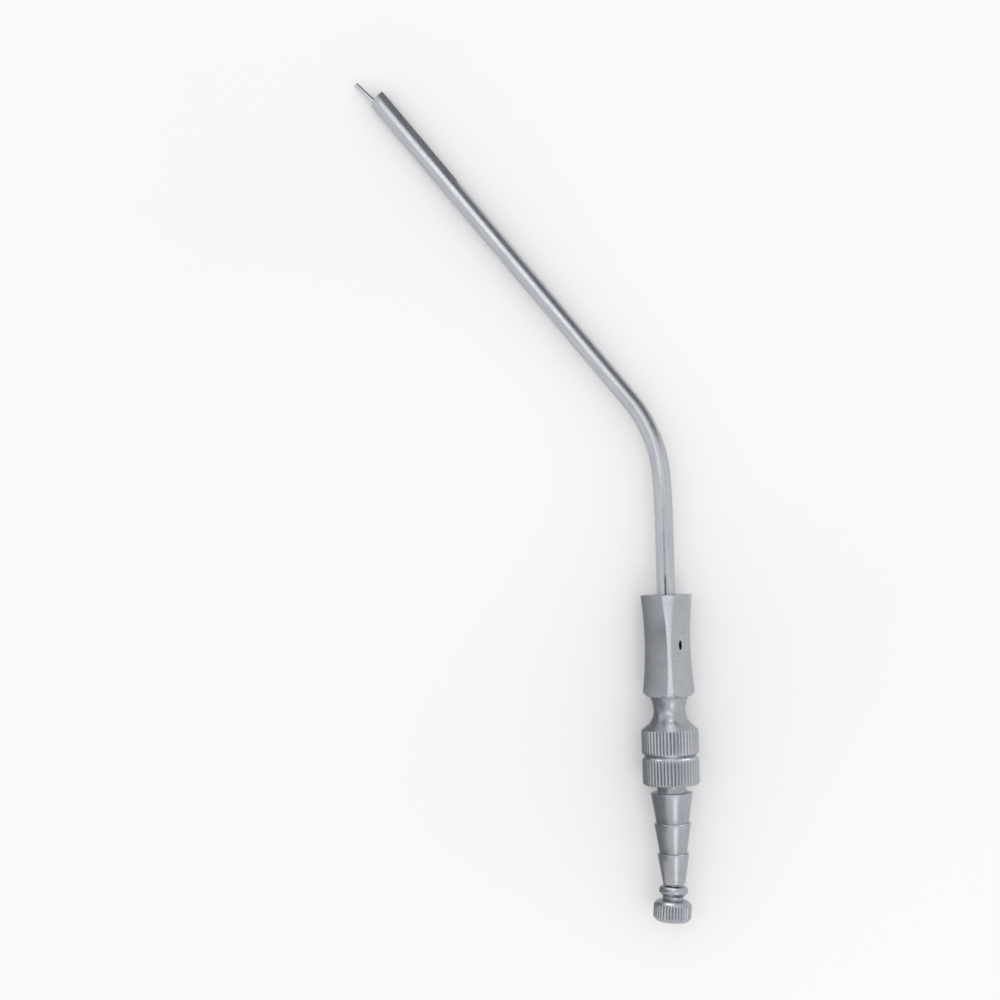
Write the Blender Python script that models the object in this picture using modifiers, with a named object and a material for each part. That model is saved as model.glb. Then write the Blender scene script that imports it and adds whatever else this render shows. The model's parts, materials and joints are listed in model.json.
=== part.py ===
# A surgical suction tube with its stylet. A bent steel cannula is soldered into a waisted
# thumb grip with four milled hollow faces, a barbed hose connector seats under the grip,
# and a wire stylet with a knurled knob runs through the whole length.
#
# Each piece is modelled in the instrument's own frame: +Z along the grip's axis towards the
# tip, z = 0 at the grip's top face, the tube bending towards -X, and +Y downwards when the
# instrument lies. An empty then lays it on the floor with its grip along world +Y.

import math

import bmesh
import bpy
from mathutils import Matrix, Vector

MM = 0.001

# Cannula: a 12 French tube with 130 mm of working length past the grip
CANNULA_LENGTH = 130.0 * MM
CANNULA_RADIUS = 2.0 * MM
CANNULA_WALL = 0.3 * MM
CANNULA_DEPTH = 8.0 * MM
CANNULA_END_SLANT = math.radians(12.0)
CANNULA_RIM_EDGE = 0.07 * MM
STRAIGHT_LENGTH = 15.0 * MM
LEAD_IN_RADIUS = 200.0 * MM
LEAD_IN_ANGLE = math.radians(3.0)
BEND_RADIUS = 30.0 * MM
BEND_ANGLE = math.radians(35.4)

# Grip: a turned waist with a hollow face milled on each of its four sides
GRIP_LENGTH = 22.0 * MM
GRIP_WAIST_DEPTH = 10.4 * MM
GRIP_WAIST_RADIUS = 4.92 * MM
GRIP_SWEEP_RADIUS = 80.0 * MM
GRIP_TOP_EDGE = 0.15 * MM
GRIP_FOOT_CHAMFER = 0.9 * MM
FACE_COUNT = 4
FACE_HALF_WIDTH = 3.75 * MM
FACE_SWEEP_RADIUS = 65.0 * MM
FACE_CENTRE_DEPTH = 11.8 * MM
VENT_WIDTH = 1.1 * MM
VENT_LENGTH = 2.05 * MM
VENT_DEPTH = 10.9 * MM

# Cove neck between the grip and the upper ring
COVE_DEPTH = 25.1 * MM
COVE_RADIUS = 3.45 * MM
COVE_UPPER_SWEEP = 6.2 * MM
COVE_LOWER_SWEEP = 3.9 * MM
COVE_LOWER_ANGLE = math.radians(50.0)

# The two knurled rings and the V groove along their parting line
RING_RADIUS = 6.2 * MM
RING_TOP_DEPTH = 29.3 * MM
PARTING_DEPTH = 34.75 * MM
LOWER_RING_RADIUS = 6.15 * MM
LOWER_RING_LENGTH = 6.3 * MM
RING_EDGE = 0.4 * MM
GROOVE_DEPTH = 0.65 * MM
GROOVE_HALF_WIDTH = 0.65 * MM
RING_TEETH = 48
RING_TOOTH_DEPTH = 0.28 * MM

# Hose connector: a spigot in the grip, a neck, and a tail of falling barbs
SPIGOT_RADIUS = 2.5 * MM
SPIGOT_LENGTH = 4.8 * MM
SPIGOT_EDGE = 0.2 * MM
CONNECTOR_BORE_RADIUS = 1.65 * MM
CONNECTOR_NECK_RADIUS = 3.15 * MM
CONNECTOR_NECK_LENGTH = 1.75 * MM
BARB_COUNT = 3
BARB_RIM_RADIUS = 4.55 * MM
BARB_RIM_STEP = 0.55 * MM
BARB_PITCH = 6.58 * MM
BARB_FALL = 1.05 * MM
BARB_EDGE = 0.15 * MM

# Stylet head: a bead that stops on the connector, a neck and a domed knurled knob
BEAD_TOP_RADIUS = 2.5 * MM
BEAD_RADIUS = 3.15 * MM
BEAD_BAND_TOP = 0.75 * MM
BEAD_BAND_FOOT = 1.5 * MM
BEAD_LENGTH = 2.3 * MM
KNOB_NECK_RADIUS = 2.28 * MM
KNOB_NECK_LENGTH = 0.75 * MM
KNOB_RADIUS = 4.12 * MM
KNOB_DOME_HEIGHT = 1.4 * MM
KNOB_BAND_HEIGHT = 2.4 * MM
KNOB_FOOT_WIDTH = 0.7 * MM
KNOB_FOOT_HEIGHT = 0.8 * MM
KNOB_TEETH = 36
KNOB_TOOTH_DEPTH = 0.24 * MM

# Stylet wire: it springs out of the tip and cocks the head a little in the bore
WIRE_RADIUS = 0.55 * MM
WIRE_REACH = 5.4 * MM
WIRE_TIP_SLOPE = 0.114
WIRE_TIP_RUN = 15.5 * MM
WIRE_SEAT_DEPTH = 3.0 * MM
STYLET_LEAN = math.radians(4.3)
STYLET_PIVOT_DEPTH = 1.2 * MM
STYLET_SETTLE_LENGTH = 14.0 * MM

# Clearances between the pieces
SOLDER_GAP = 0.05 * MM
SEAT_GAP = 0.1 * MM
MOUTH_CHAMFER = 0.2 * MM

# How finely the round forms are divided
CANNULA_BEVEL_RESOLUTION = 10
BEND_DIVISIONS = 12
FACE_CUTTER_SEGMENTS = 160
CUT_MARGIN = 1.0 * MM
TOOTH_LAND = 0.2

CANNULA_BORE_RADIUS = CANNULA_RADIUS - CANNULA_WALL
KNOB_LENGTH = BEAD_LENGTH + KNOB_NECK_LENGTH + KNOB_DOME_HEIGHT + KNOB_BAND_HEIGHT + KNOB_FOOT_HEIGHT
BARB_TOP = LOWER_RING_LENGTH + CONNECTOR_NECK_LENGTH
CONNECTOR_LENGTH = BARB_TOP + BARB_COUNT * BARB_PITCH


def clear_scene():
    for obj in list(bpy.data.objects):
        bpy.data.objects.remove(obj, do_unlink=True)


def new_collection(name):
    collection = bpy.data.collections.new(name)
    bpy.context.scene.collection.children.link(collection)
    return collection


def steel(name, roughness):
    """Stainless steel: the same grey all over, with its own polish."""
    material = bpy.data.materials.new(name)
    material.use_nodes = True
    shader = material.node_tree.nodes["Principled BSDF"]
    shader.inputs["Base Color"].default_value = (0.56, 0.57, 0.60, 1.0)
    shader.inputs["Metallic"].default_value = 1.0
    shader.inputs["Roughness"].default_value = roughness
    return material


def link(obj, collection):
    collection.objects.link(obj)
    return obj


def mark_as_cutter(obj):
    obj.hide_render = True
    obj.display_type = "WIRE"
    return obj


def evaluated_mesh(obj):
    graph = bpy.context.evaluated_depsgraph_get()
    return bpy.data.meshes.new_from_object(obj.evaluated_get(graph))


def freeze(obj, material):
    """Keep the modifiers' result as the object's mesh, smooth but for its hard edges."""
    mesh = evaluated_mesh(obj)
    mesh.name = obj.name
    obj.modifiers.clear()
    obj.data = mesh
    mesh.materials.clear()
    mesh.materials.append(material)
    mesh.shade_smooth()
    mesh.set_sharp_from_angle(angle=math.radians(30.0))
    return obj


def curve_as_mesh(curve_obj, name, collection):
    """A mesh object in place of a curve, with the ends of the sweep welded."""
    mesh = evaluated_mesh(curve_obj)
    mesh.name = name
    bm = bmesh.new()
    bm.from_mesh(mesh)
    bmesh.ops.remove_doubles(bm, verts=bm.verts, dist=1e-6)
    bm.to_mesh(mesh)
    bm.free()
    obj = bpy.data.objects.new(name, mesh)
    obj.matrix_world = curve_obj.matrix_world
    bpy.data.objects.remove(curve_obj, do_unlink=True)
    return link(obj, collection)


def turned(name, outline, closed, steps, collection):
    """A lathe-turned piece from (radius, height) points that run down its outer side."""
    mesh = bpy.data.meshes.new(name)
    verts = [(radius, 0.0, height) for radius, height in outline]
    edges = [(i, i + 1) for i in range(len(verts) - 1)]
    if closed:
        edges.append((len(verts) - 1, 0))
    mesh.from_pydata(verts, edges, [])
    obj = link(bpy.data.objects.new(name, mesh), collection)
    screw = obj.modifiers.new("turning", "SCREW")
    screw.axis = "Z"
    screw.steps = steps
    screw.render_steps = steps
    screw.use_merge_vertices = True
    screw.merge_threshold = 1e-6
    return obj


def cut(obj, cutter, label):
    boolean = obj.modifiers.new(label, "BOOLEAN")
    boolean.operation = "DIFFERENCE"
    boolean.solver = "EXACT"
    boolean.object = cutter


def centre_line(s):
    """Place and heading of the tube's centre line, s metres past the grip's top face."""
    x, z, heading = 0.0, min(s, STRAIGHT_LENGTH), 0.0
    left = s - z
    for radius, angle in ((LEAD_IN_RADIUS, LEAD_IN_ANGLE), (BEND_RADIUS, BEND_ANGLE)):
        turn = min(left / radius, angle)
        x += radius * (math.cos(heading + turn) - math.cos(heading))
        z += radius * (math.sin(heading + turn) - math.sin(heading))
        heading += turn
        left -= radius * turn
    x -= left * math.sin(heading)
    z += left * math.cos(heading)
    return x, z, heading


def bend_stations():
    """Where the tube's centre line starts, changes and ends its curves."""
    lead_in = LEAD_IN_RADIUS * LEAD_IN_ANGLE
    bend = BEND_RADIUS * BEND_ANGLE
    start = STRAIGHT_LENGTH + lead_in
    stations = [STRAIGHT_LENGTH, STRAIGHT_LENGTH + lead_in / 2.0]
    return stations + [start + bend * i / BEND_DIVISIONS for i in range(BEND_DIVISIONS + 1)]


def swept(name, points, radius, resolution, capped, collection):
    """A round bar or an open tube along (x, z) points."""
    curve = bpy.data.curves.new(name + "_route", "CURVE")
    curve.dimensions = "3D"
    curve.bevel_depth = radius
    curve.bevel_resolution = resolution
    curve.use_fill_caps = capped
    spline = curve.splines.new("POLY")
    spline.points.add(len(points) - 1)
    for point, (x, z) in zip(spline.points, points):
        point.co = (x, 0.0, z, 1.0)
    route = link(bpy.data.objects.new(name + "_route", curve), collection)
    return curve_as_mesh(route, name, collection)


def make_cannula(collection):
    """Thin bent tube; its open end is cut slightly aslant, longer on the outer side."""
    stations = [-CANNULA_DEPTH] + bend_stations() + [CANNULA_LENGTH + CANNULA_RADIUS]
    points = [centre_line(s)[:2] for s in stations]
    tube = swept("cannula", points, CANNULA_RADIUS, CANNULA_BEVEL_RESOLUTION, False, collection)
    x, z, heading = centre_line(CANNULA_LENGTH)
    facing = heading + CANNULA_END_SLANT
    bm = bmesh.new()
    bm.from_mesh(tube.data)
    bmesh.ops.bisect_plane(
        bm,
        geom=bm.verts[:] + bm.edges[:] + bm.faces[:],
        plane_co=(x, 0.0, z),
        plane_no=(-math.sin(facing), 0.0, math.cos(facing)),
        clear_outer=True,
    )
    bm.to_mesh(tube.data)
    bm.free()
    wall = tube.modifiers.new("wall", "SOLIDIFY")
    wall.thickness = CANNULA_WALL
    wall.offset = -1.0
    wall.use_rim = True
    rim = tube.modifiers.new("rim", "BEVEL")
    rim.width = CANNULA_RIM_EDGE
    rim.segments = 1
    rim.limit_method = "ANGLE"
    rim.angle_limit = math.radians(50.0)
    return freeze(tube, steel("polished_cannula_steel", 0.22))


def sweep_radius(height):
    """Radius of the turned grip at a height, on one long arc about its waist."""
    rise = height + GRIP_WAIST_DEPTH
    return GRIP_WAIST_RADIUS + GRIP_SWEEP_RADIUS - math.sqrt(GRIP_SWEEP_RADIUS**2 - rise**2)


def grip_outline():
    top = -GRIP_TOP_EDGE
    foot = GRIP_FOOT_CHAMFER - GRIP_LENGTH
    count = 8
    outline = [(sweep_radius(top) - GRIP_TOP_EDGE, 0.0)]
    for i in range(count + 1):
        height = top + (foot - top) * i / count
        outline.append((sweep_radius(height), height))
    outline.append((sweep_radius(foot) - GRIP_FOOT_CHAMFER, -GRIP_LENGTH))
    return outline


def cove_outline():
    """Two arcs that meet at the narrowest place of the neck."""
    outline = []
    rise = COVE_DEPTH - GRIP_LENGTH
    for i in range(4):
        height = rise * (1.0 - i / 4.0)
        sweep = COVE_UPPER_SWEEP - math.sqrt(COVE_UPPER_SWEEP**2 - height**2)
        outline.append((COVE_RADIUS + sweep, height - COVE_DEPTH))
    for i in range(5):
        angle = COVE_LOWER_ANGLE * i / 4.0
        radius = COVE_RADIUS + COVE_LOWER_SWEEP * (1.0 - math.cos(angle))
        outline.append((radius, -COVE_DEPTH - COVE_LOWER_SWEEP * math.sin(angle)))
    return outline


def handle_outline():
    socket = CANNULA_RADIUS + SOLDER_GAP
    spigot_socket = SPIGOT_RADIUS + SOLDER_GAP
    socket_floor = SPIGOT_LENGTH + SEAT_GAP - PARTING_DEPTH
    tube_seat = -CANNULA_DEPTH - SEAT_GAP
    outer = [(socket + MOUTH_CHAMFER, 0.0)] + grip_outline() + cove_outline()
    outer += [
        (RING_RADIUS - RING_EDGE / 2.0, RING_EDGE / 2.0 - RING_TOP_DEPTH),
        (RING_RADIUS, -RING_TOP_DEPTH),
        (RING_RADIUS, GROOVE_HALF_WIDTH - PARTING_DEPTH),
        (RING_RADIUS - GROOVE_DEPTH, -PARTING_DEPTH),
    ]
    inner = [
        (spigot_socket, -PARTING_DEPTH),
        (spigot_socket, socket_floor),
        (CANNULA_BORE_RADIUS, socket_floor),
        (CANNULA_BORE_RADIUS, tube_seat),
        (socket, tube_seat),
        (socket, -MOUTH_CHAMFER),
    ]
    return outer + inner


def face_cutter(turn, collection):
    """A big drum that mills one hollow face and stops under the grip."""
    bm = bmesh.new()
    bmesh.ops.create_cone(
        bm,
        cap_ends=True,
        segments=FACE_CUTTER_SEGMENTS,
        radius1=FACE_SWEEP_RADIUS,
        radius2=FACE_SWEEP_RADIUS,
        depth=4.0 * RING_RADIUS,
    )
    bmesh.ops.rotate(bm, verts=bm.verts, matrix=Matrix.Rotation(math.pi / 2.0, 3, "X"))
    away = FACE_HALF_WIDTH + FACE_SWEEP_RADIUS
    bmesh.ops.translate(bm, verts=bm.verts, vec=(away, 0.0, -FACE_CENTRE_DEPTH))
    under_grip = -GRIP_LENGTH - (COVE_DEPTH - GRIP_LENGTH) / 8.0
    result = bmesh.ops.bisect_plane(
        bm,
        geom=bm.verts[:] + bm.edges[:] + bm.faces[:],
        plane_co=(0.0, 0.0, under_grip),
        plane_no=(0.0, 0.0, -1.0),
        clear_outer=True,
    )
    open_edges = [item for item in result["geom_cut"] if isinstance(item, bmesh.types.BMEdge)]
    bmesh.ops.contextual_create(bm, geom=open_edges)
    bmesh.ops.rotate(bm, verts=bm.verts, matrix=Matrix.Rotation(turn, 3, "Z"))
    bmesh.ops.recalc_face_normals(bm, faces=bm.faces)
    mesh = bpy.data.meshes.new("face_cutter")
    bm.to_mesh(mesh)
    bm.free()
    return mark_as_cutter(link(bpy.data.objects.new("face_cutter", mesh), collection))


def vent_cutter(turn, collection):
    """An oval punch from the middle of the channel out through one hollow face."""
    bm = bmesh.new()
    length = GRIP_WAIST_RADIUS + CUT_MARGIN
    bmesh.ops.create_cone(bm, cap_ends=True, segments=24, radius1=0.5, radius2=0.5, depth=length)
    bmesh.ops.translate(bm, verts=bm.verts, vec=(0.0, 0.0, length / 2.0))
    bmesh.ops.scale(bm, verts=bm.verts, vec=(VENT_LENGTH, VENT_WIDTH, 1.0))
    bmesh.ops.rotate(bm, verts=bm.verts, matrix=Matrix.Rotation(math.pi / 2.0, 3, "Y"))
    bmesh.ops.rotate(bm, verts=bm.verts, matrix=Matrix.Rotation(turn, 3, "Z"))
    bmesh.ops.translate(bm, verts=bm.verts, vec=(0.0, 0.0, -VENT_DEPTH))
    mesh = bpy.data.meshes.new("vent_cutter")
    bm.to_mesh(mesh)
    bm.free()
    return mark_as_cutter(link(bpy.data.objects.new("vent_cutter", mesh), collection))


def add_outline(curve, points):
    spline = curve.splines.new("POLY")
    spline.points.add(len(points) - 1)
    for point, (x, y) in zip(spline.points, points):
        point.co = (x, y, 0.0, 1.0)
    spline.use_cyclic_u = True


def polar(radius, angle):
    return radius * math.cos(angle), radius * math.sin(angle)


def knurl_cutter(name, radius, depth, teeth, top, foot, collection):
    """A ring with inward teeth: what it leaves is a straight knurl with narrow lands."""
    pitch = 2.0 * math.pi / teeth
    tip = radius + depth * TOOTH_LAND / (1.0 - TOOTH_LAND)
    toothed = []
    for i in range(teeth):
        toothed.append(polar(tip, i * pitch))
        toothed.append(polar(radius - depth, (i + 0.5) * pitch))
    around = [polar(radius + CUT_MARGIN, i * pitch) for i in range(teeth)]
    curve = bpy.data.curves.new(name, "CURVE")
    curve.dimensions = "2D"
    curve.fill_mode = "BOTH"
    curve.extrude = (top - foot) / 2.0
    add_outline(curve, around)
    add_outline(curve, toothed)
    flat = link(bpy.data.objects.new(name + "_outline", curve), collection)
    flat.location = (0.0, 0.0, (top + foot) / 2.0)
    bpy.context.view_layer.update()
    return mark_as_cutter(curve_as_mesh(flat, name, collection))


def make_handle(collection, cutters):
    """Grip, cove neck and upper ring are one turned bar; its faces, vent and teeth are cut."""
    handle = turned("handle", handle_outline(), True, RING_TEETH, collection)
    quarter = 2.0 * math.pi / FACE_COUNT
    for i in range(FACE_COUNT):
        cut(handle, face_cutter((i + 0.5) * quarter, cutters), "face")
    cut(handle, vent_cutter(-0.5 * quarter, cutters), "vent")
    top = RING_EDGE - RING_TOP_DEPTH
    foot = -PARTING_DEPTH - CUT_MARGIN
    knurl = knurl_cutter(
        "upper_ring_knurl", RING_RADIUS, RING_TOOTH_DEPTH, RING_TEETH, top, foot, cutters
    )
    cut(handle, knurl, "knurl")
    return freeze(handle, steel("satin_handle_steel", 0.34))


def barb_outline():
    """Falling barbs: each has a square shoulder and tapers to the foot of the next."""
    outline = []
    for i in range(BARB_COUNT):
        rim = BARB_RIM_RADIUS - i * BARB_RIM_STEP
        top = -BARB_TOP - i * BARB_PITCH
        outline.append((rim - BARB_EDGE, top))
        outline.append((rim, top - BARB_EDGE))
        outline.append((rim - BARB_FALL, top - BARB_PITCH))
    return outline


def connector_outline():
    return [
        (CONNECTOR_BORE_RADIUS, SPIGOT_LENGTH),
        (SPIGOT_RADIUS - SPIGOT_EDGE, SPIGOT_LENGTH),
        (SPIGOT_RADIUS, SPIGOT_LENGTH - SPIGOT_EDGE),
        (SPIGOT_RADIUS, -SEAT_GAP),
        (LOWER_RING_RADIUS - GROOVE_DEPTH, -SEAT_GAP),
        (LOWER_RING_RADIUS, -SEAT_GAP - GROOVE_HALF_WIDTH),
        (LOWER_RING_RADIUS, RING_EDGE - LOWER_RING_LENGTH),
        (LOWER_RING_RADIUS - RING_EDGE, -LOWER_RING_LENGTH),
        (CONNECTOR_NECK_RADIUS, -LOWER_RING_LENGTH),
        (CONNECTOR_NECK_RADIUS, -BARB_TOP),
        *barb_outline(),
        (CONNECTOR_BORE_RADIUS, -CONNECTOR_LENGTH),
    ]


def make_connector(collection, cutters):
    connector = turned("hose_connector", connector_outline(), True, RING_TEETH, collection)
    top = CUT_MARGIN
    foot = -LOWER_RING_LENGTH - CUT_MARGIN
    knurl = knurl_cutter(
        "lower_ring_knurl", LOWER_RING_RADIUS, RING_TOOTH_DEPTH, RING_TEETH, top, foot, cutters
    )
    cut(connector, knurl, "knurl")
    freeze(connector, steel("satin_connector_steel", 0.34))
    connector.location = (0.0, 0.0, -PARTING_DEPTH)
    return connector


def knob_outline():
    hole = WIRE_RADIUS + SOLDER_GAP
    dome_top = -BEAD_LENGTH - KNOB_NECK_LENGTH
    band_top = dome_top - KNOB_DOME_HEIGHT
    band_foot = band_top - KNOB_BAND_HEIGHT
    outline = [
        (0.0, -WIRE_SEAT_DEPTH),
        (hole, -WIRE_SEAT_DEPTH),
        (hole, 0.0),
        (BEAD_TOP_RADIUS, 0.0),
        (BEAD_RADIUS, -BEAD_BAND_TOP),
        (BEAD_RADIUS, -BEAD_BAND_FOOT),
        (KNOB_NECK_RADIUS, -BEAD_LENGTH),
    ]
    for i in range(5):
        angle = math.pi / 2.0 * i / 4.0
        radius = KNOB_NECK_RADIUS + (KNOB_RADIUS - KNOB_NECK_RADIUS) * math.sin(angle)
        outline.append((radius, dome_top - KNOB_DOME_HEIGHT * (1.0 - math.cos(angle))))
    outline += [
        (KNOB_RADIUS, band_foot),
        (KNOB_RADIUS - KNOB_FOOT_WIDTH, -KNOB_LENGTH),
        (0.0, -KNOB_LENGTH),
    ]
    return outline


def make_knob(collection, cutters):
    """Bead, neck and knob are turned in one; the bead rests cocked on the connector's end."""
    knob = turned("stylet_knob", knob_outline(), False, KNOB_TEETH, collection)
    top = -BEAD_LENGTH - KNOB_NECK_LENGTH / 2.0
    foot = -KNOB_LENGTH - CUT_MARGIN
    knurl = knurl_cutter(
        "knob_knurl", KNOB_RADIUS, KNOB_TOOTH_DEPTH, KNOB_TEETH, top, foot, cutters
    )
    cut(knob, knurl, "knurl")
    freeze(knob, steel("satin_knob_steel", 0.34))
    reach = stylet_pivot_to_bead()
    knob.location = (
        -reach * math.sin(STYLET_LEAN),
        0.0,
        STYLET_PIVOT_DEPTH - CONNECTOR_LENGTH - reach * math.cos(STYLET_LEAN),
    )
    knob.rotation_euler = (0.0, STYLET_LEAN, 0.0)
    return knob


def stylet_pivot_to_bead():
    """From the point the head cocks about, inside the bore, to the bead's top."""
    raised_edge = BEAD_TOP_RADIUS * math.tan(STYLET_LEAN)
    return STYLET_PIVOT_DEPTH / math.cos(STYLET_LEAN) + raised_edge + SEAT_GAP


def wire_aside(s):
    """How far the wire lies from the tube's centre line, towards the inside of the bend."""
    pivot = STYLET_PIVOT_DEPTH - CONNECTOR_LENGTH - PARTING_DEPTH
    past_pivot = s - pivot
    cocked = math.tan(STYLET_LEAN) * past_pivot
    if past_pivot > 0.0:
        cocked *= max(1.0 - past_pivot / STYLET_SETTLE_LENGTH, 0.0) ** 2
    run = s - (CANNULA_LENGTH - WIRE_TIP_RUN)
    if run < WIRE_TIP_RUN:
        sprung = WIRE_TIP_SLOPE * max(run, 0.0) ** 2 / (2.0 * WIRE_TIP_RUN)
    else:
        sprung = WIRE_TIP_SLOPE * (run - WIRE_TIP_RUN / 2.0)
    return sprung - cocked


def wire_point(s):
    x, z, heading = centre_line(s)
    aside = wire_aside(s)
    return x - aside * math.cos(heading), z - aside * math.sin(heading)


def wire_stations():
    pivot = STYLET_PIVOT_DEPTH - CONNECTOR_LENGTH - PARTING_DEPTH
    depth = stylet_pivot_to_bead() + WIRE_SEAT_DEPTH - SEAT_GAP
    stations = [pivot - depth * math.cos(STYLET_LEAN)]
    stations += [pivot + STYLET_SETTLE_LENGTH * i / 6.0 for i in range(7)]
    stations += bend_stations()
    stations += [CANNULA_LENGTH - WIRE_TIP_RUN * (1.0 - i / 5.0) for i in range(6)]
    return stations + [CANNULA_LENGTH + WIRE_REACH]


def make_wire(collection):
    points = [wire_point(s) for s in wire_stations()]
    wire = swept("stylet_wire", points, WIRE_RADIUS, 2, True, collection)
    return freeze(wire, steel("drawn_wire_steel", 0.25))


def resting_matrix():
    """Turn from the instrument's frame to the floor it lies on.

    It rests on the grip's top edge, the top edge of the upper ring and the cannula's end.
    The plane through their lowest points is y = level + across * x + along * z.
    """
    grip_edge = sweep_radius(-GRIP_TOP_EDGE)
    along = (grip_edge - RING_RADIUS) / (RING_TOP_DEPTH - GRIP_TOP_EDGE)
    level = RING_RADIUS + along * RING_TOP_DEPTH
    x, z, _ = centre_line(CANNULA_LENGTH)
    across = (CANNULA_RADIUS - level - along * z) / x
    up = -Vector((-across, 1.0, -along)).normalized()
    axis = Vector((0.0, 0.0, 1.0))
    forward = (axis - axis.dot(up) * up).normalized()
    return Matrix((forward.cross(up), forward, up)).to_4x4()


def stand_on_origin(root, pieces):
    """Bring the lowest middle of the whole instrument to the world's origin."""
    bpy.context.view_layer.update()
    corners = [piece.matrix_world @ vert.co for piece in pieces for vert in piece.data.vertices]
    low = [min(corner[i] for corner in corners) for i in range(3)]
    high = [max(corner[i] for corner in corners) for i in range(3)]
    middle = Vector(((low[0] + high[0]) / 2.0, (low[1] + high[1]) / 2.0, low[2]))
    root.matrix_world = Matrix.Translation(-middle) @ root.matrix_world
    bpy.context.view_layer.update()


def build():
    clear_scene()
    collection = new_collection("suction_tube")
    cutters = new_collection("cutters")
    handle = make_handle(collection, cutters)
    cannula = make_cannula(collection)
    connector = make_connector(collection, cutters)
    knob = make_knob(collection, cutters)
    wire = make_wire(collection)
    root = link(bpy.data.objects.new("resting_instrument", None), collection)
    root.matrix_world = resting_matrix()
    for piece in (handle, cannula, connector, wire):
        piece.parent = root
    knob.parent = connector
    stand_on_origin(root, (handle, cannula, connector, knob, wire))


build()
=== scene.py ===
import json
import math

import bmesh
import bpy
from mathutils import Matrix, Vector


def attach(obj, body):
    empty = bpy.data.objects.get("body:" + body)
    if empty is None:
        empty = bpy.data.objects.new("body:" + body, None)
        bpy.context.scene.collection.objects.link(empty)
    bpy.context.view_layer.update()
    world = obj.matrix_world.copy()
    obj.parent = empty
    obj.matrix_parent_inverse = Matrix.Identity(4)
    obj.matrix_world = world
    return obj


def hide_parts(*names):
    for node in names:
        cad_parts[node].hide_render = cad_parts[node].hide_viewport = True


# A suction tube with its stylet, in bare stainless steel, lying on a pale table.
# Every piece is modelled in millimetres in the instrument's own frame: +Z runs up the grip
# to the tip, z = 0 is the grip's top face, the tube bends towards -X and +Y is down.
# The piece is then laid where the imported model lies. Angles are in degrees.

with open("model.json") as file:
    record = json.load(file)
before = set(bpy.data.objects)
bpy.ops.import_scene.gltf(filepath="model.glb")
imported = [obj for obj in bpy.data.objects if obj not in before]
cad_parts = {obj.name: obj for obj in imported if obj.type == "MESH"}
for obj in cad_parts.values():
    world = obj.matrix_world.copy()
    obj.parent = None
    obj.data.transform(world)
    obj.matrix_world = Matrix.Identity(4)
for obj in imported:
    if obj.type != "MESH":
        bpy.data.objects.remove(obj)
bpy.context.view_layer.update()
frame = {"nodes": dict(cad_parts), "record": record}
print("frame: nodes", sorted(frame["nodes"]))

mm = 0.001
slack = 1e-4                  # places and angles closer than this are the same
toothSteps = 8                # rows of points to each tooth of a knurl

# What the pieces leave free between them, in millimetres
fit = {"solder": 0.05, "seat": 0.1, "mouth": 0.2}


# Small tools

def arcRise(radius, run):
    return radius - math.sqrt(radius**2 - run**2)  # how far an arc has fallen away after a run


def spread(start, end, count):
    return [start + (end - start) * i / count for i in range(count + 1)]


def spun(outline, steps, closed):
    # Turns an outline of (radius, height, edge) corners about Z, and rounds the corners with an edge.
    bm = bmesh.new()
    corners = [bm.verts.new((radius, 0.0, height)) for radius, height, edge in outline]
    for one, other in zip(corners, corners[1:]):
        bm.edges.new((one, other))
    if closed:
        bm.edges.new((corners[-1], corners[0]))
    for edge in sorted({corner[2] for corner in outline if corner[2] > 0.0}):
        sharp = [vert for vert, corner in zip(corners, outline)
                 if vert.is_valid and corner[2] == edge]
        bmesh.ops.bevel(bm, geom=sharp, offset=edge, offset_type="OFFSET", segments=3,
                        profile=0.5, affect="VERTICES", material=-1)
    bmesh.ops.spin(bm, geom=bm.verts[:] + bm.edges[:], cent=(0, 0, 0), axis=(0, 0, 1),
                   angle=2.0 * math.pi, steps=steps, use_merge=True, use_duplicate=False)
    bmesh.ops.remove_doubles(bm, verts=bm.verts, dist=slack)
    bmesh.ops.recalc_face_normals(bm, faces=bm.faces)
    return bm


def cutKnurl(bm, knurl):
    # A straight knurl, whose teeth have a narrow land and a rounded root
    for vert in bm.verts:
        if not knurl["foot"] <= vert.co.z <= knurl["top"]:
            continue
        turn = math.atan2(vert.co.y, vert.co.x) / (2.0 * math.pi) * knurl["teeth"]
        off = abs(turn - round(turn))
        slope = min(max((off - knurl["land"]) / (0.5 - knurl["land"]), 0.0), 1.0)
        limit = knurl["radius"] - knurl["depth"] * slope * slope * (3.0 - 2.0 * slope)
        radius = math.hypot(vert.co.x, vert.co.y)
        if radius > limit:
            vert.co.x *= limit / radius
            vert.co.y *= limit / radius


def bent(bm, pointAt):
    # The straight place of each point is kept, so that the finish follows the bend.
    straight = bm.verts.layers.float_vector.new("straightened")
    for vert in bm.verts:
        vert[straight] = vert.co
        x, z, heading = pointAt(vert.co.z)
        vert.co = (x + vert.co.x * math.cos(heading), vert.co.y, z + vert.co.x * math.sin(heading))


def finished(name, bm, place, materials, node, sharp=32.0):
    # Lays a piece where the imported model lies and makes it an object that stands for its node.
    # Edges that turn by more degrees than sharp are drawn as sharp.
    bm.transform(place @ Matrix.Scale(mm, 4))
    mesh = bpy.data.meshes.new(name)
    bm.to_mesh(mesh)
    bm.free()
    mesh.shade_smooth()
    mesh.set_sharp_from_angle(angle=math.radians(sharp))
    for material in materials:
        mesh.materials.append(material)
    piece = bpy.data.objects.new(name, mesh)
    bpy.context.scene.collection.objects.link(piece)
    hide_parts(node)
    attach(piece, "root")
    print(f"{name}: {len(mesh.polygons)} faces, {len(mesh.loop_triangles)} triangles")
    return piece


# Cannula: turned straight, then bent along its line

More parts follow.
